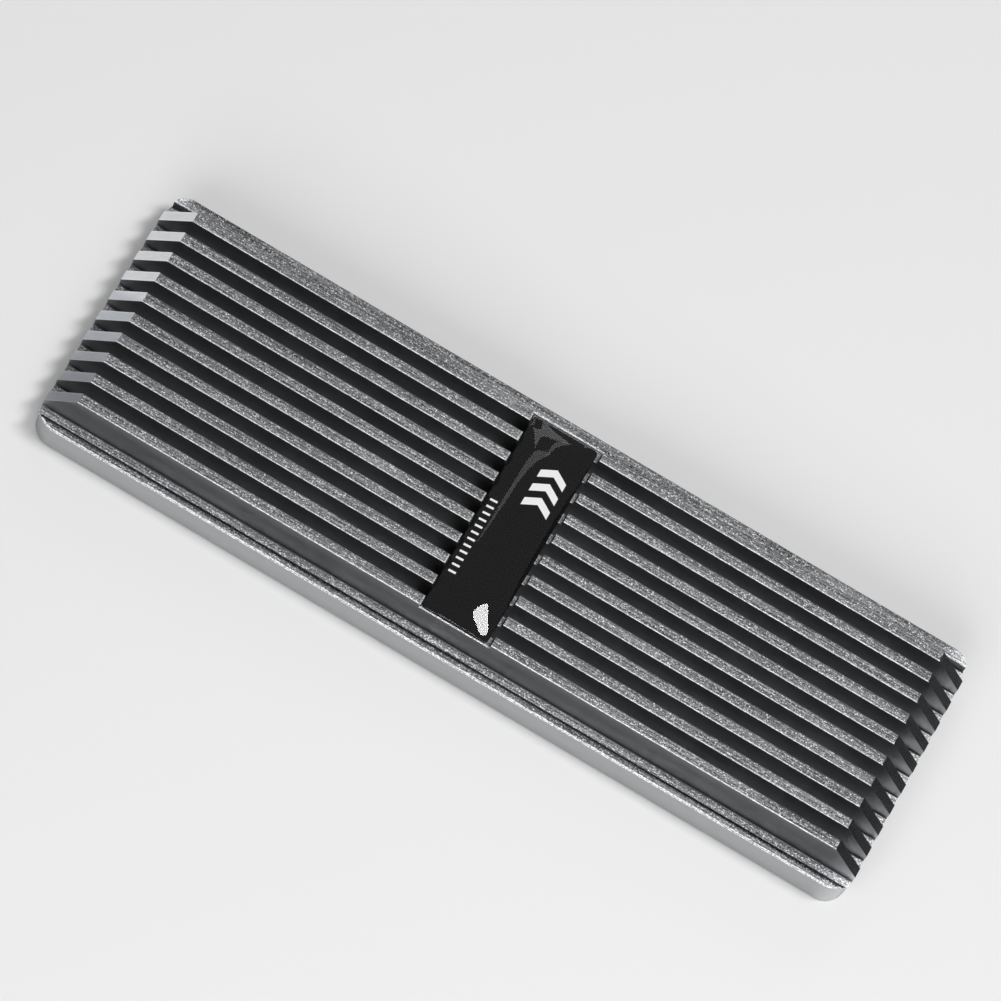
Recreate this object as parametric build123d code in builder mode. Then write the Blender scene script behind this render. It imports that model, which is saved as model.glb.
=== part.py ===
"""Finned aluminium heat sink for a long, narrow drive card, with a domed label set in a cross pocket.

Origin: middle of the flat underside. +X runs along the fins, +Y across them, +Z up. Millimetres.
"""

import os
from math import isclose

from build123d import *

os.makedirs("parts", exist_ok=True)

# Extruded section
length = 70.0
width = 22.0
height = 6.0
base_thickness = 2.1
side_height = 3.3
rib_thickness = 0.85
rib_count = 12
root_radius = 0.15
tip_radius = 0.1
side_inner_radius = 0.35

# Machining after the cut to length
corner_radius = 1.8
underside_chamfer = 0.2
slope_run = 2.5
slope_foot = 3.0
pocket_depth = 0.65
pocket_offset = -0.1

# Label, and the room round it in its pocket
label_width = 5.6
label_gap_left = 0.1
label_gap_right = 0.35
label_inset = 0.15
label_corner_radius = 0.3
film_thickness = 0.15
dome_rim = 0.12
dome_height = 1.0

# The ribs stand at one pitch, with the first and last flush with the sides.
# All but those two are full-height fins.
rib_pitch = (width - rib_thickness) / (rib_count - 1)
fin_count = rib_count - 2
fin_span = (fin_count - 1) * rib_pitch + rib_thickness

# The pocket is cut for the label, which was stuck down close to the -X wall.
pocket_width = label_gap_left + label_width + label_gap_right
pocket_floor = height - pocket_depth
label_centre = pocket_offset + (label_gap_left - label_gap_right) / 2
label_length = fin_span - 2 * label_inset
dome_base = pocket_floor + film_thickness


def corners_at(sketch, level):
    """The sketch's corners at one height above the underside."""
    return sketch.vertices().filter_by(lambda corner: isclose(corner.Y, level))


# Heat sink body
with BuildPart() as body:
    with BuildSketch(Plane.YZ.offset(-length / 2)) as section:
        Rectangle(width, base_thickness, align=(Align.CENTER, Align.MIN))
        with GridLocations(rib_pitch, 0, rib_count, 1):
            Rectangle(rib_thickness, side_height, align=(Align.CENTER, Align.MIN))
        with GridLocations(rib_pitch, 0, fin_count, 1):
            Rectangle(rib_thickness, height, align=(Align.CENTER, Align.MIN))

        fillet(corners_at(section, base_thickness), root_radius)
        fillet(corners_at(section, height), tip_radius)
        side_corners = corners_at(section, side_height).sort_by(Axis.X)
        fillet(side_corners[1:-1], side_inner_radius)
        side_corners = corners_at(section, side_height).sort_by(Axis.X)
        fillet([side_corners[0], side_corners[-1]], tip_radius)
    extrude(amount=length)

    # Rounded vertical corners
    with BuildSketch():
        RectangleRounded(length, width, corner_radius)
    extrude(amount=height, mode=Mode.INTERSECT)
    chamfer(body.faces().sort_by(Axis.Z)[0].edges(), underside_chamfer)

    # Sloped fin ends, and the pocket across all the fins
    with BuildSketch(Plane.XZ):
        with BuildLine():
            Polyline(
                (length / 2 - slope_run, height),
                (length / 2, slope_foot),
                (length / 2, height),
                close=True,
            )
        make_face()
        mirror(about=Plane.YZ)
        with Locations((pocket_offset, pocket_floor)):
            Rectangle(pocket_width, pocket_depth, align=(Align.CENTER, Align.MIN))
    extrude(amount=width / 2, both=True, mode=Mode.SUBTRACT)

body.part.label = "heat_sink_body"


# Printed label film
with BuildPart() as film:
    with BuildSketch(Plane.XY.offset(pocket_floor)):
        with Locations((label_centre, 0)):
            RectangleRounded(label_width, label_length, label_corner_radius)
    extrude(amount=film_thickness)

film.part.label = "label_film"


# Clear resin dome: one arch across the label, and the same arch rounding down each end
with BuildPart() as dome:
    with BuildSketch(Plane.XZ):
        with BuildLine():
            arch = ThreePointArc(
                (label_centre - label_width / 2, dome_base + dome_rim),
                (label_centre, dome_base + dome_height),
                (label_centre + label_width / 2, dome_base + dome_rim),
            )
            Polyline(
                arch @ 1,
                (label_centre + label_width / 2, dome_base),
                (label_centre - label_width / 2, dome_base),
                arch @ 0,
            )
        make_face()
    extrude(amount=label_length / 2, both=True)

    with BuildSketch(Plane.YZ):
        with BuildLine():
            crest = Line(
                (0, dome_base + dome_height),
                ((label_length - label_width) / 2, dome_base + dome_height),
            )
            end_arch = TangentArc(
                crest @ 1,
                (label_length / 2, dome_base + dome_rim),
                tangent=crest % 1,
            )
            Polyline(
                end_arch @ 1,
                (label_length / 2, dome_base),
                (0, dome_base),
            )
            mirror(about=Plane.YZ)
        make_face()
    extrude(amount=width, both=True, mode=Mode.INTERSECT)

    with BuildSketch(Plane.XY.offset(dome_base)):
        with Locations((label_centre, 0)):
            RectangleRounded(label_width, label_length, label_corner_radius)
    extrude(amount=dome_height, mode=Mode.INTERSECT)

dome.part.label = "label_dome"


for piece in (body, film, dome):
    export_step(piece.part, f"parts/{piece.part.label}.step")
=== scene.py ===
from math import copysign, cos, cosh, hypot, pi, radians

import bpy
from mathutils import Matrix, Quaternion, Vector


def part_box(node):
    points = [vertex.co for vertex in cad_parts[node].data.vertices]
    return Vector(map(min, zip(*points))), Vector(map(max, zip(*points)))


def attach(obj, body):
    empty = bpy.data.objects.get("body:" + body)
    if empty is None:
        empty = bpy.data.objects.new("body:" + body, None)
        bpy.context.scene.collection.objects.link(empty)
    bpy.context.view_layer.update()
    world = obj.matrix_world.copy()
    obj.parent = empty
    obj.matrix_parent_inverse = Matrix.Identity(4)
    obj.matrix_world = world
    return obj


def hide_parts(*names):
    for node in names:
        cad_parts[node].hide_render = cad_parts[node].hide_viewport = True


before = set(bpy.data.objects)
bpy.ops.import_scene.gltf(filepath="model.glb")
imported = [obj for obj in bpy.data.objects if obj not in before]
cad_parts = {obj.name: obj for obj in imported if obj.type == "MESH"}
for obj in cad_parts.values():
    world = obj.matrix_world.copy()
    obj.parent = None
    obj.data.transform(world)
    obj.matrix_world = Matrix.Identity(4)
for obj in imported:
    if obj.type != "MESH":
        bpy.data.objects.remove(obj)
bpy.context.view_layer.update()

MM = 0.001

# Corners of the three pieces, in metres: the body's highest, and both of the label's pieces
BODY_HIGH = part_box("heat_sink_body")[1]
FILM_LOW, FILM_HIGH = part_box("label_film")
DOME_LOW, DOME_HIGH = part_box("label_dome")

# The body's section, slopes and pocket, in millimetres
HALF_LENGTH = BODY_HIGH.x / MM
HALF_WIDTH = BODY_HIGH.y / MM
FIN_TOP = BODY_HIGH.z / MM
RIB_COUNT = 12
RIB_THICKNESS = 0.85
RIB_TOP = 3.3
CHANNEL_FLOOR = 2.1
SLOPE_RUN = 2.5
CORNER_RADIUS = 1.8
LABEL_GAP_LEFT = 0.1
LABEL_GAP_RIGHT = 0.35
RIB_PITCH = (2 * HALF_WIDTH - RIB_THICKNESS) / (RIB_COUNT - 1)
RIB_INNER_FACE = HALF_WIDTH - RIB_THICKNESS
OUTER_FIN = HALF_WIDTH - RIB_PITCH
LABEL_RIGHT = FILM_HIGH.x / MM
POCKET_FLOOR = FILM_LOW.z / MM
POCKET_LEFT = FILM_LOW.x / MM - LABEL_GAP_LEFT
POCKET_RIGHT = LABEL_RIGHT + LABEL_GAP_RIGHT

# Where each place on the metal starts and is full, in millimetres
OPEN_SIDE = (OUTER_FIN - 0.06, OUTER_FIN - 0.02)
PAINTED_LIGHT_END = (HALF_LENGTH - SLOPE_RUN, HALF_LENGTH - 0.5)
FRONT_HALF = (1, -1)
FIN_TIP = (FIN_TOP - 0.2, FIN_TOP - 0.12)
ABOVE_FLOOR = (CHANNEL_FLOOR + 0.15, CHANNEL_FLOOR + 0.2)
RIB_HEAD = (RIB_TOP - 0.4, RIB_TOP - 0.3)
RIB_OUTSIDE = (RIB_INNER_FACE + 0.2, RIB_INNER_FACE + 0.55)
FIN_FRONT_HIGHLIGHT = (0.33, 0.37)
FIN_EDGE = (0.34, 0.38)
RIM_HIGHLIGHT = (CORNER_RADIUS - 0.2, CORNER_RADIUS - 0.14)
FRONT_LIP = (OUTER_FIN - 0.15, OUTER_FIN - 0.12)

# Narrow bands on the metal: their two edges, and how softly they fade, in millimetres
RIB_WALL = (RIB_INNER_FACE - 0.04, RIB_INNER_FACE + 0.02, 0.02)
STUB_HEIGHT = (POCKET_FLOOR - 0.05, POCKET_FLOOR + 0.05, 0.02)
POCKET_INSIDE = (POCKET_LEFT + 0.1, POCKET_RIGHT - 0.1, 0.03)
CUT_END = (POCKET_LEFT - 0.1, POCKET_LEFT + 0.1, 0.04)
BESIDE_LABEL = (LABEL_RIGHT, LABEL_RIGHT + 0.12, 0.04)

# Depth of the jags in the worn edges that are painted bright as highlights, in millimetres
FIN_JAGS = 0.07
RIM_JAGS = 0.15

# How a surface has to face to start to count as each kind, and to count in full
LEVEL_SLANT = (0.95, 0.99)
SLOPED_SLANT = (0.25, 0.4)
ROUNDED_SLANT = (0.05, 0.3)
SIDEWAYS_SLANT = (0.2, 0.6)
SHOULDER_SLANT = (0.65, 0.75)
PRINTED_SLANT = (0.5, 0.9)

# Grain and marks of the metal, in cells per millimetre along, across and up
GRAIN_CELLS = (7, 11, 11)
DRAWN_CELLS = (0.12, 9, 9)
SPARKLE_CELLS = (7, 9, 9)
CLOUD_CELLS = (0.4, 2, 2)
JAG_CELLS = (3, 8, 8)
BRUSHED_CELLS = (0.6, 12, 0.6)
SPARKLE_WARP = 1.1

# The stretch of each noise that is spread from 0 to 1
GRAIN_CONTRAST = (0.35, 0.7)
DRAWN_CONTRAST = (0.35, 0.65)
BRUSHED_CONTRAST = (0.3, 0.7)
RUBBED_CONTRAST = (0.35, 0.6)
CUT_CONTRAST = (0.4, 0.55)
SPARKLE_CHANCE = (0.35, 1.0)
SPARKLE_REACH = (0.15, 0.65)
SMUDGE_CONTRAST = (0.5, 0.75)

# Grey levels of the metal, before its grain is added; the rib walls, pocket corners and creases get
# painted shade, and the worn edges, cut ends and stub glints painted highlights
WALL_LEVEL = 0.25
RIB_WALL_LEVEL = 0.1
GRAIN_LEVEL = 0.02
STUB_LEVEL = 0.08
POCKET_CORNER_LEVEL = 0.02
CREASE_LEVEL = 0.12
WEAR_AND_HIGHLIGHT_LEVEL = 0.35
CUT_END_LEVEL = 0.6
STUB_GLINT_LEVEL = 0.9
SLOPE_LEVEL = 0.73
ANODISED_TINT = (0.985, 1.0, 1.03)

WALL_ROUGHNESS = 0.36
BLASTED_ROUGHNESS = 0.58
RUBBED_ROUGHNESS = 0.45
SLOPE_ROUGHNESS = 0.16

# Relief of the metal, in millimetres: the depths of its grain, where its worn front edges start to
# fall away, and the level below which the ribs' inner shoulders are lifted
GRAIN_DEPTH = 0.05
SLOPE_GRAIN_DEPTH = 0.001
FIN_ROUNDING_START = 0.28
RIB_ROUNDING_START = HALF_WIDTH - 0.22
SHOULDER_TOP = RIB_TOP - 0.1

# How steeply the worn edges fall, and how much the shoulders are lifted
ROUNDING = 1.7
SHOULDER_LIFT = 0.8

# Print on the label, in millimetres
CHEVRON_MIDDLE = 0.55
CHEVRON_REACH = 1.05
CHEVRON_START = 5.9
CHEVRON_SLANT = -0.6
CHEVRON_PITCH = 1.3
CHEVRON_STROKE = 0.65
CHEVRON_COUNT = 3
TICK_LEFT = -2.6
TICK_LENGTH = 0.6
TICK_START = 1.3
TICK_PITCH = 0.6
TICK_STROKE = 0.16
TICK_COUNT = 12
PRINT_SOFTNESS = 0.03
BLACK_LEVEL = 0.004
WHITE_LEVEL = 0.78
SPECKLE_CELLS = (6, 6, 6)

# Resin dome, in millimetres: its corners, its rim and foot, and the reach of its surface tension
DOME_CORNER = 0.35
DOME_RIM = 0.12
DOME_FOOT = 0.02
RESIN_SPREAD = 5.0

# The dome's grid across and along, the terms of its surface's series, and its smoothing in degrees
DOME_CELLS = (48, 160)
DOME_TERMS = 12
DOME_SMOOTH_ANGLE = 70

# Resin: its smudges and waves, in cells per millimetre, and the depth of the waves in millimetres
RESIN_IOR = 1.45
SMUDGE_CELLS = (0.5, 0.4, 0.5)
SMUDGE_WARP = 1.2
WAVE_CELLS = (0.45, 0.45, 0.45)
WAVE_DEPTH = 0.006

# Floor in metres: its side, its gap below the part, and the opening that the part covers
FLOOR_SIDE = 3.0
FLOOR_GAP = 0.00002
FLOOR_OPENING = (0.0686, 0.0206)
FLOOR_LEVEL = 0.78
FLOOR_ROUGHNESS = 0.6

# Camera, as fitted to the photograph's edges, in millimetres and degrees
CAMERA_AIM = Vector((-1.975, 2.627, 3.0))
CAMERA_DISTANCE = 447.3
CAMERA_ELEVATION = 67.09
CAMERA_AZIMUTH = -1.06
CAMERA_ROLL = 29.52
CAMERA_LENS = 214.13
CAMERA_SENSOR = 36.0
CAMERA_CLIP = 10

# Light: what the lamps point at in millimetres, and the level of the room round them
LAMP_TARGET = Vector((0, 0, 5))
ROOM_LEVEL = 0.28

# Cards that the metal mirrors: the levels of their cloth at the front and the back,
# and how far behind a card's middle it goes from one to the other, in millimetres
DARK_CLOTH = (0.022, 0.022)
GREY_CLOTH = (0.29, 0.75)
CLOTH_CHANGE = (27, 38)
CLOTH_TINT = (0.97, 1.0, 1.04)


class Signal:
    """A value that varies over a surface. The usual operators add the shader's maths nodes."""

    def __init__(self, finish, socket):
        self.finish = finish
        self.socket = socket

    def maths(self, operation, *values):
        return self.finish.node(
            "ShaderNodeMath", {"operation": operation}, dict(enumerate(values))
        )

    def __add__(self, other):
        return self.maths("ADD", self, other)

    def __radd__(self, other):
        return self.maths("ADD", other, self)

    def __sub__(self, other):
        return self.maths("SUBTRACT", self, other)

    def __rsub__(self, other):
        return self.maths("SUBTRACT", other, self)

    def __mul__(self, other):
        return self.maths("MULTIPLY", self, other)

    def __rmul__(self, other):
        return self.maths("MULTIPLY", other, self)

    def __pow__(self, other):
        return self.maths("POWER", self, other)

    def __neg__(self):
        return self.maths("MULTIPLY", self, -1)

    def __abs__(self):
        return self.maths("ABSOLUTE", self)

    def at_least(self, value):
        return self.maths("MAXIMUM", self, value)

    def at_most(self, value):
        return self.maths("MINIMUM", self, value)

    def repeat(self, length):
        """The place within a cell of the given length, for a pattern that repeats."""
        return self.maths("FLOORED_MODULO", self, length)

    def rise(self, start, end):
        """0 up to start and 1 from end on, with a smooth step between them."""
        return self.finish.node(
            "ShaderNodeMapRange",
            {"interpolation_type": "SMOOTHSTEP"},
            {"Value": self, "From Min": start, "From Max": end},
        )

    def band(self, start, end, soft):
        """1 between start and end, fading to 0 over a width of soft at both."""
        return self.rise(start - soft, start) * (1 - self.rise(end, end + soft))


class Finish:
    """One procedural material."""

    def __init__(self, name):
        self.material = bpy.data.materials.new(name)
        self.material.use_nodes = True
        self.tree = self.material.node_tree
        self.shader = self.tree.nodes["Principled BSDF"]

    def node(self, kind, settings=None, sockets=None, output=0):
        """Adds a node, applies its settings, then fills its sockets with values or links."""
        made = self.tree.nodes.new(kind)
        for setting, value in (settings or {}).items():
            setattr(made, setting, value)
        for key, value in (sockets or {}).items():
            self.fill(self.socket(made.inputs, key), value)
        return Signal(self, self.socket(made.outputs, output))

    def fill(self, socket, value):
        """Gives a socket a value, or a link if the value varies."""
        if isinstance(value, Signal):
            self.tree.links.new(value.socket, socket)
        else:
            socket.default_value = value

    @staticmethod
    def socket(sockets, key):
        """A socket by its index, or by its name among those that are in use."""
        if isinstance(key, int):
            return sockets[key]
        return next(each for each in sockets if each.name == key and each.enabled)

    def surface(self, **sockets):
        """Fills the shader's own sockets. A name's underscores stand for spaces."""
        for key, value in sockets.items():
            self.fill(self.shader.inputs[key.replace("_", " ")], value)
        return self.material

    def axes(self, vector):
        """The three parts of a vector."""
        split = self.node("ShaderNodeSeparateXYZ", None, {"Vector": vector})
        return [Signal(self, each) for each in split.socket.node.outputs]

    def cells(self, counts):
        """The place on the piece, in cells of the given numbers per millimetre on the three axes."""
        place = self.node("ShaderNodeTexCoord", output="Object")
        per_metre = [count / MM for count in counts]
        return self.node(
            "ShaderNodeVectorMath", {"operation": "MULTIPLY"}, {0: place, 1: per_metre}
        )

    def place(self):
        """The place on the piece along the three axes, in millimetres."""
        return self.axes(self.cells((1, 1, 1)))

    def facing(self):
        """The parts of the surface's normal along the three axes."""
        return self.axes(self.node("ShaderNodeTexCoord", output="Normal"))

    def noise(self, cells, detail=2.0, roughness=0.5):
        return self.node(
            "ShaderNodeTexNoise",
            None,
            {"Vector": cells, "Scale": 1.0, "Detail": detail, "Roughness": roughness},
        )

    def warped(self, cells, amount):
        """Cells pushed about by a noise of their own size, which makes what follows them uneven."""
        push = self.node("ShaderNodeTexNoise", None, {"Vector": cells, "Scale": 1.0}, "Color")
        return self.node(
            "ShaderNodeVectorMath",
            {"operation": "MULTIPLY_ADD"},
            {0: push, 1: (amount, amount, amount), 2: cells},
        )

    def grains(self, cells):
        """A random number for each grain, and the distance from the grain's middle."""
        grain = self.node("ShaderNodeTexVoronoi", None, {"Vector": cells, "Scale": 1.0}, "Color")
        distance = Signal(self, self.socket(grain.socket.node.outputs, "Distance"))
        return self.axes(grain)[0], distance

    def blend(self, factor, first, second):
        """A number that goes from first to second."""
        return self.node(
            "ShaderNodeMix",
            {"data_type": "FLOAT"},
            {"Factor": factor, "A": first, "B": second},
            "Result",
        )

    def layered(self, number, *layers):
        """A number with others laid over it in turn, each where its mask is 1."""
        for mask, over in layers:
            number = self.blend(mask, number, over)
        return number

    def grey(self, level, tint=(1, 1, 1)):
        """A colour from a varying level and the share of it in red, green and blue."""
        red, green, blue = tint
        return self.node(
            "ShaderNodeCombineColor",
            None,
            {"Red": level * red, "Green": level * green, "Blue": level * blue},
        )

    def relief(self, height):
        """The surface's normal over a relief of the given height in millimetres."""
        return self.node("ShaderNodeBump", None, {"Height": height, "Distance": MM, "Strength": 1.0})


class Metal(Finish):
    """Metal with masks that are 1 at each place that was made, cut or worn in its own way, and at each
    place where light or shade is painted.
    """

    def __init__(self, name):
        super().__init__(name)
        self.x, self.y, self.z = self.place()
        self.outward = abs(self.y)
        self.front_half = self.y.rise(*FRONT_HALF)
        self.across_fin = self.y.repeat(RIB_PITCH) - RIB_PITCH / 2
        self.lay_grain()
        self.sort_faces()
        self.find_sides_and_ends()
        self.find_pocket()
        self.find_wear()

    def lay_grain(self):
        """Fine grain, lines drawn along the fins, and single grains that catch the light, painted
        bright as glints.
        """
        self.fine = self.noise(self.cells(GRAIN_CELLS), roughness=0.65)
        self.drawn = self.noise(self.cells(DRAWN_CELLS))
        self.cloudy = self.noise(self.cells(CLOUD_CELLS))
        self.jagged = self.noise(self.cells(JAG_CELLS), detail=1.0) - 0.5
        self.brushed = self.noise(self.cells(BRUSHED_CELLS), detail=1.0)
        self.rubbed_grain = self.fine.rise(*RUBBED_CONTRAST)
        # Painted highlight: single grains get bright glints painted into their colour
        chance, reach = self.grains(self.warped(self.cells(SPARKLE_CELLS), SPARKLE_WARP))
        sparkle = chance.rise(*SPARKLE_CHANCE) * (1 - reach.rise(*SPARKLE_REACH))
        self.sparkle = sparkle * (0.55 + 0.9 * self.cloudy)

    def sort_faces(self):
        """Level faces, the sloped fin ends, and rounded edges, by the way they face."""
        normal_x, normal_y, self.normal_z = self.facing()
        self.level_face = self.normal_z.rise(*LEVEL_SLANT)
        self.sloped = (abs(normal_x) * self.normal_z).rise(*SLOPED_SLANT)
        rounded = self.normal_z.rise(*ROUNDED_SLANT)
        self.rounded = rounded * (1 - self.level_face) * (1 - self.sloped)
        self.rounded_front = self.rounded * (-normal_y).rise(*SIDEWAYS_SLANT)
        self.rounded_back = self.rounded * normal_y.rise(*SIDEWAYS_SLANT)

    def find_sides_and_ends(self):
        """The open sides with their low ribs, the +X end that is painted lighter, levels above the
        underside, and the creases and the ribs' inner walls that are painted darker as shade.
        """
        self.open_side = self.outward.rise(*OPEN_SIDE)
        # Painted light: the metal towards the +X end is painted lighter
        self.painted_light_end = self.x.rise(*PAINTED_LIGHT_END)
        self.fin_tip = self.z.rise(*FIN_TIP)
        self.above_floor = self.z.rise(*ABOVE_FLOOR)
        # Painted shade: the roundings low in the channels, at the roots of the fins, are painted dark
        self.crease = self.rounded * (1 - self.above_floor)

        self.rib_top = self.z.rise(*RIB_HEAD) * (1 - self.fin_tip) * self.open_side
        self.rib_inside = (1 - self.outward.rise(*RIB_OUTSIDE)) * self.rib_top
        # Painted shade: the ribs' inner walls are painted darker than the other walls
        self.rib_wall = self.outward.band(*RIB_WALL)

    def find_pocket(self):
        """The fins' milled stubs in the pocket, its corners that are painted dark as shade, and the
        fins' cut ends beside it that are painted bright as highlights.
        """
        self.milled = self.z.band(*STUB_HEIGHT) * self.level_face
        # Painted shade: the stubs next to the pocket's walls are painted near black
        self.pocket_corner = self.milled * (1 - self.x.band(*POCKET_INSIDE))
        # Painted highlight: the fin tops at the pocket's left wall are painted bright, as the glint of
        # their cut edges
        self.cut_end = self.fin_tip * self.x.band(*CUT_END)
        self.blasted = (self.level_face + self.rounded * self.rib_top) * (1 - self.milled)

    def find_wear(self):
        """Front edges of fins and ribs, and the outline of the base, worn and painted bright as
        highlights on their front side and ends; a glint painted beside the label; and shade painted
        inside the near rib and on roundings that face the back.
        """
        # Wear and painted highlight: only the fins' front edges, the base's outline at its front and
        # ends, the roundings that face the front and the stubs' front lip are painted bright
        self.front_edge = (FIN_JAGS * self.jagged - self.across_fin).rise(*FIN_FRONT_HIGHLIGHT)
        past_end = (abs(self.x) - (HALF_LENGTH - CORNER_RADIUS)).at_least(0)
        past_side = (self.outward - (HALF_WIDTH - CORNER_RADIUS)).at_least(0)
        to_outline = (past_end * past_end + past_side * past_side) ** 0.5
        rim = (to_outline + RIM_JAGS * self.jagged).rise(*RIM_HIGHLIGHT)
        rim = rim * (self.front_half + past_end).at_most(1)
        rim = rim * (1 - self.fin_tip) * self.above_floor
        shoulder = self.rib_inside * self.normal_z.rise(*SHOULDER_SLANT)
        front_round_highlight = self.rounded_front * self.above_floor * (1 - shoulder)
        front_lip = self.milled * (-self.y).rise(*FRONT_LIP)
        level_edge_highlight = (self.front_edge * self.fin_tip + rim) * self.level_face
        self.wear_and_highlight = level_edge_highlight + front_round_highlight + front_lip

        # Painted highlight: a glint on the stubs' front edges beside the label
        self.stub_glint = self.milled * self.front_edge * self.x.band(*BESIDE_LABEL)
        # Painted shade: the inside of the near rib and the roundings that face the back are painted
        # darker
        shaded_rib = self.rib_inside * self.front_half
        self.shaded = (0.7 * shaded_rib + 0.8 * self.rounded_back).at_most(0.8)

    def level(self):
        """How light the metal is, from its drawn walls up to the slopes that lie over all the rest."""
        # Painted light and shade: the open side strips below the rib tops, the +X end and the
        # roundings that face the front are painted lighter, and the shaded places darker
        painted_brightening = 0.6 * self.open_side * (1 - self.rib_top) + 1.4 * self.painted_light_end
        painted_brightening = (1 - self.fin_tip) * painted_brightening + self.rounded_front
        grain = GRAIN_LEVEL + 0.2 * self.fine.rise(*GRAIN_CONTRAST) + 0.7 * self.sparkle
        grain = grain + 0.17 * self.drawn.rise(*DRAWN_CONTRAST)
        grain = grain * (1 + painted_brightening) * (1 - self.shaded)
        slope = SLOPE_LEVEL + 0.06 * self.brushed.rise(*BRUSHED_CONTRAST) + 0.1 * self.cloudy
        # Painted highlight: the slopes are painted lighter along the fins' side edges
        slope = slope + 0.25 * abs(self.across_fin).rise(*FIN_EDGE)
        return self.layered(
            # Painted reflection: the walls are painted lighter on the open sides and towards the +X
            # end
            WALL_LEVEL + 0.06 * self.cloudy + 0.13 * self.open_side + 0.2 * self.painted_light_end,
            # Painted shade on the ribs' inner walls
            (self.rib_wall, RIB_WALL_LEVEL),
            (self.blasted, grain),
            (self.milled, STUB_LEVEL + 0.3 * self.rubbed_grain + 0.4 * self.sparkle),
            # Painted shade in the pocket's corners
            (self.pocket_corner, POCKET_CORNER_LEVEL),
            # Painted shade in the creases
            (self.crease, CREASE_LEVEL),
            # Worn edges, painted bright as highlights
            (self.wear_and_highlight, WEAR_AND_HIGHLIGHT_LEVEL + 0.6 * self.rubbed_grain),
            # Painted highlight on the fins' cut ends
            (self.cut_end * self.fine.rise(*CUT_CONTRAST), CUT_END_LEVEL),
            # Painted glint beside the label
            (self.stub_glint, STUB_GLINT_LEVEL),
            (self.sloped, slope),
        )

    def roughness(self):
        return self.layered(
            WALL_ROUGHNESS,
            (self.blasted, BLASTED_ROUGHNESS),
            (self.wear_and_highlight, RUBBED_ROUGHNESS),
            (self.sloped, SLOPE_ROUGHNESS),
        )

    def grain_height(self):
        grain = (0.7 * self.fine + 0.3 * self.drawn) * (self.blasted + 0.5 * self.wear_and_highlight)
        return GRAIN_DEPTH * grain + SLOPE_GRAIN_DEPTH * self.fine * self.sloped

    def rounding_height(self):
        """Front edges of fins and ribs that are worn round, and the ribs' inner shoulders."""
        past_fin = (-self.across_fin - FIN_ROUNDING_START).at_least(0)
        past_rib = (self.outward - RIB_ROUNDING_START).at_least(0) * self.front_half
        fallen = past_fin * past_fin * self.fin_tip + past_rib * past_rib * self.rib_top
        below_top = (SHOULDER_TOP - self.z).at_least(0)
        lifted = self.rounded_front * self.rib_inside * below_top
        return SHOULDER_LIFT * lifted - ROUNDING * fallen * self.level_face


def anodised_aluminium():
    """Blasted where it faces up, smooth on its drawn walls, and bright where it was cut, with painted
    highlights on its worn edges and cut ends and painted shade in its creases and corners.
    """
    metal = Metal("anodised_aluminium")
    return metal.surface(
        Base_Color=metal.grey(metal.level(), ANODISED_TINT),
        Metallic=1.0,
        Roughness=metal.roughness(),
        Normal=metal.relief(metal.grain_height() + metal.rounding_height()),
    )


def label_print():
    """Black film with three white chevrons and, along its left edge, a scale of short white ticks."""
    film = Finish("label_print")
    x, y = film.place()[:2]
    printed = film.facing()[2].rise(*PRINTED_SLANT)

    from_middle = abs(x - CHEVRON_MIDDLE)
    along = (CHEVRON_START - y) + CHEVRON_SLANT * from_middle
    chevrons = along.repeat(CHEVRON_PITCH).band(0, CHEVRON_STROKE, PRINT_SOFTNESS)
    chevrons = chevrons * along.band(0, (CHEVRON_COUNT - 0.5) * CHEVRON_PITCH, PRINT_SOFTNESS)
    chevrons = chevrons * (1 - from_middle.rise(CHEVRON_REACH, CHEVRON_REACH + PRINT_SOFTNESS))

    down = TICK_START - y
    ticks = down.repeat(TICK_PITCH).band(0, TICK_STROKE, PRINT_SOFTNESS)
    ticks = ticks * down.band(0, (TICK_COUNT - 0.5) * TICK_PITCH, PRINT_SOFTNESS)
    ticks = ticks * x.band(TICK_LEFT, TICK_LEFT + TICK_LENGTH, PRINT_SOFTNESS)

    speckle = film.noise(film.cells(SPECKLE_CELLS))
    black = BLACK_LEVEL + 0.004 * speckle
    white = WHITE_LEVEL + 0.08 * speckle
    return film.surface(
        Base_Color=film.grey(film.blend((chevrons + ticks) * printed, black, white)),
        Roughness=0.35 + 0.1 * speckle,
        Specular_IOR_Level=0.0,
    )


def clear_resin():
    """Clear and glossy, with faint smudges and the slight waves of a poured surface."""
    resin = Finish("clear_resin")
    smudges = resin.noise(resin.warped(resin.cells(SMUDGE_CELLS), SMUDGE_WARP), detail=3.0)
    waves = resin.noise(resin.cells(WAVE_CELLS))
    return resin.surface(
        Base_Color=(0.95, 0.95, 0.95, 1.0),
        Roughness=0.015 + 0.06 * smudges.rise(*SMUDGE_CONTRAST),
        IOR=RESIN_IOR,
        Transmission_Weight=1.0,
        Normal=resin.relief(WAVE_DEPTH * waves),
    )


def pale_floor():
    """Plain and pale from above, and clear from below."""
    floor = Finish("pale_floor")
    from_below = floor.node("ShaderNodeNewGeometry", output="Backfacing")
    return floor.surface(
        Base_Color=(FLOOR_LEVEL, FLOOR_LEVEL, FLOOR_LEVEL, 1.0),
        Roughness=FLOOR_ROUGHNESS,
        Alpha=1 - from_below,
    )


def card_cloth(name, levels):
    """Cloth that goes from one grey at the card's front to another at its back."""
    cloth = Finish(name)
    back = cloth.place()[1].rise(*CLOTH_CHANGE)
    level = cloth.blend(back, *levels)
    return cloth.surface(Base_Color=cloth.grey(level, CLOTH_TINT))


def dress(node, material):
    """Gives a node of the frame its finish."""
    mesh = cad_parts[node].data
    mesh.materials.clear()
    mesh.materials.append(material)


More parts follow.
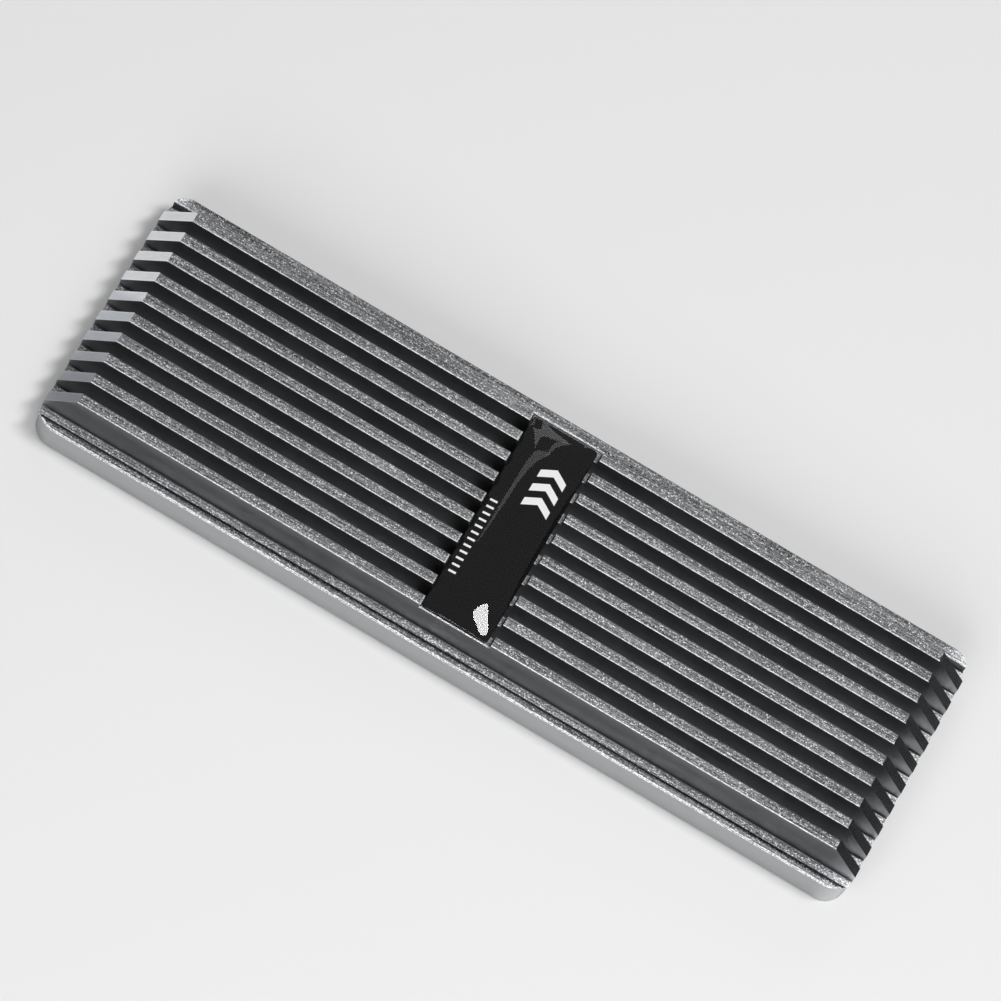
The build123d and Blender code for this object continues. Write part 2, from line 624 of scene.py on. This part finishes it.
def settled_height(across, along, half_width, half_length):
    """Height of a liquid held by its edge on a rectangle, under surface tension and its own weight."""
    height = 0.0
    for term in range(DOME_TERMS):
        wave = (2 * term + 1) * pi / (2 * half_width)
        fall = hypot(wave, 1 / RESIN_SPREAD)
        share = (-1) ** term / (wave * (1 + (RESIN_SPREAD * wave) ** 2))
        far_from_end = 1 - cosh(fall * along) / cosh(fall * half_length)
        height += share * cos(wave * across) * far_from_end
    return height


def settle(mesh, middle, half, rim):
    """Raises a flat grid to the settled resin's surface, and rounds its four corners."""
    half_width = half.x / MM
    half_length = half.y / MM
    corner = DOME_CORNER * MM
    crest = settled_height(0, 0, half_width, half_length)
    for vertex in mesh.vertices:
        across = vertex.co.x - middle.x
        along = vertex.co.y - middle.y
        settled = settled_height(across / MM, along / MM, half_width, half_length)
        vertex.co.z += max(settled, 0) / crest * (DOME_HIGH.z - rim)
        past_x = abs(across) - (half.x - corner)
        past_y = abs(along) - (half.y - corner)
        if past_x > 0 and past_y > 0:
            drawn_in = max(past_x, past_y) / hypot(past_x, past_y)
            vertex.co.x = middle.x + copysign(half.x - corner + past_x * drawn_in, across)
            vertex.co.y = middle.y + copysign(half.y - corner + past_y * drawn_in, along)


def pour_dome(resin):
    """The resin as it sets on the film: an arch across, rounding down at the ends in soft hips."""
    middle = (DOME_LOW + DOME_HIGH) / 2
    half = (DOME_HIGH - DOME_LOW) / 2
    rim = DOME_LOW.z + DOME_RIM * MM

    bpy.ops.object.select_all(action="DESELECT")
    bpy.ops.mesh.primitive_grid_add(
        x_subdivisions=DOME_CELLS[0],
        y_subdivisions=DOME_CELLS[1],
        size=2.0,
        location=(middle.x, middle.y, rim),
    )
    dome = bpy.context.active_object
    dome.name = "resin_dome"
    dome.scale = (half.x, half.y, 1.0)
    bpy.ops.object.transform_apply()
    settle(dome.data, middle, half, rim)

    # The wall down to the film, and its foot just inside it, so that no air lies between them
    bpy.ops.object.mode_set(mode="EDIT")
    bpy.ops.mesh.select_all(action="DESELECT")
    bpy.ops.mesh.select_mode(type="EDGE")
    bpy.ops.mesh.select_non_manifold()
    bpy.ops.mesh.extrude_region_move(
        TRANSFORM_OT_translate={"value": (0, 0, -(DOME_RIM + DOME_FOOT) * MM)}
    )
    bpy.ops.mesh.edge_face_add()
    bpy.ops.mesh.select_all(action="SELECT")
    bpy.ops.mesh.normals_make_consistent(inside=False)
    bpy.ops.object.mode_set(mode="OBJECT")
    bpy.ops.object.shade_smooth_by_angle(angle=radians(DOME_SMOOTH_ANGLE))
    dome.data.materials.append(resin)

    # Light goes through clear resin to the print below
    dome.visible_shadow = False
    dome.visible_diffuse = False
    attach(dome, "root")
    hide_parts("label_dome")


def lay_floor():
    """The floor, open under the part, which leaves the underside in view from below."""
    bpy.ops.object.select_all(action="DESELECT")
    bpy.ops.mesh.primitive_plane_add(size=FLOOR_SIDE, location=(0, 0, -FLOOR_GAP))
    floor = bpy.context.active_object
    floor.name = "floor"

    # The inset leaves a square of one metre, which is shrunk to the opening and taken out
    bpy.ops.object.mode_set(mode="EDIT")
    bpy.ops.mesh.inset(thickness=(FLOOR_SIDE - 1) / 2)
    bpy.ops.transform.resize(value=(*FLOOR_OPENING, 1))
    bpy.ops.mesh.delete(type="FACE")
    bpy.ops.object.mode_set(mode="OBJECT")
    floor.data.materials.append(pale_floor())


def hang_lamp(name, place, size, power, shape="RECTANGLE", roll=0):
    """A soft lamp at a place in millimetres, turned to the part and then rolled about its own axis."""
    bpy.ops.object.light_add(type="AREA", location=Vector(place) * MM)
    lamp = bpy.context.active_object
    lamp.name = name
    lamp.data.shape = shape
    lamp.data.size = size[0] * MM
    lamp.data.size_y = size[1] * MM
    lamp.data.energy = power
    aim = (LAMP_TARGET - Vector(place)).to_track_quat("-Z", "Y")
    lamp.rotation_euler = (aim @ Quaternion((0, 0, 1), radians(roll))).to_euler()


def hang_card(name, place, height, width, levels):
    """An upright card across the X axis, placed and sized in millimetres, seen only in reflections."""
    bpy.ops.object.select_all(action="DESELECT")
    bpy.ops.mesh.primitive_plane_add(
        size=1.0, location=Vector(place) * MM, rotation=(0, radians(90), 0)
    )
    card = bpy.context.active_object
    card.name = name
    card.scale = (height * MM, width * MM, 1)
    bpy.ops.object.transform_apply(location=False, rotation=False, scale=True)
    card.visible_camera = False
    card.visible_diffuse = False
    card.visible_transmission = False
    card.visible_shadow = False
    card.data.materials.append(card_cloth(name + "_cloth", levels))


def light_studio():
    """A pale room with five soft lamps, and a card beside each end of the part."""
    world = bpy.data.worlds.new("studio")
    bpy.context.scene.world = world
    world.use_nodes = True
    background = world.node_tree.nodes["Background"]
    background.inputs["Color"].default_value = (ROOM_LEVEL, ROOM_LEVEL, ROOM_LEVEL, 1.0)

    # The first shows in the resin as a bright drop, and the next three as grey patches and streaks
    hang_lamp("key_lamp", (132, 11, 383), (84, 186), 0.86, shape="ELLIPSE", roll=39)
    hang_lamp("back_lamp", (-89, 292, 233), (249, 50), 0.062, roll=27)
    hang_lamp("left_strip", (-135, 197, 301), (240, 34), 0.023, shape="ELLIPSE", roll=-11)
    hang_lamp("rear_strip", (-18, 286, 255), (190, 26), 0.014, shape="ELLIPSE", roll=64)
    hang_lamp("front_lamp", (0, -330, 240), (350, 220), 0.8)
    hang_card("dark_flag", (41, 10, 14), 30, 80, DARK_CLOTH)
    hang_card("grey_flag", (-44, -32.25, 5), 10, 75.5, GREY_CLOTH)


def set_camera():
    bpy.ops.object.camera_add()
    camera = bpy.context.active_object
    turn = (
        Matrix.Rotation(radians(-CAMERA_AZIMUTH), 4, "Z")
        @ Matrix.Rotation(radians(90 - CAMERA_ELEVATION), 4, "X")
        @ Matrix.Rotation(radians(CAMERA_ROLL), 4, "Z")
    )
    back = turn.to_3x3() @ Vector((0, 0, 1))
    camera.matrix_world = Matrix.Translation((CAMERA_AIM + CAMERA_DISTANCE * back) * MM) @ turn
    camera.data.lens = CAMERA_LENS
    camera.data.sensor_width = CAMERA_SENSOR
    camera.data.clip_start = CAMERA_CLIP * MM
    bpy.context.scene.camera = camera


bpy.context.scene.view_settings.view_transform = "Standard"
dress("heat_sink_body", anodised_aluminium())
dress("label_film", label_print())
pour_dome(clear_resin())
lay_floor()
light_studio()
set_camera()
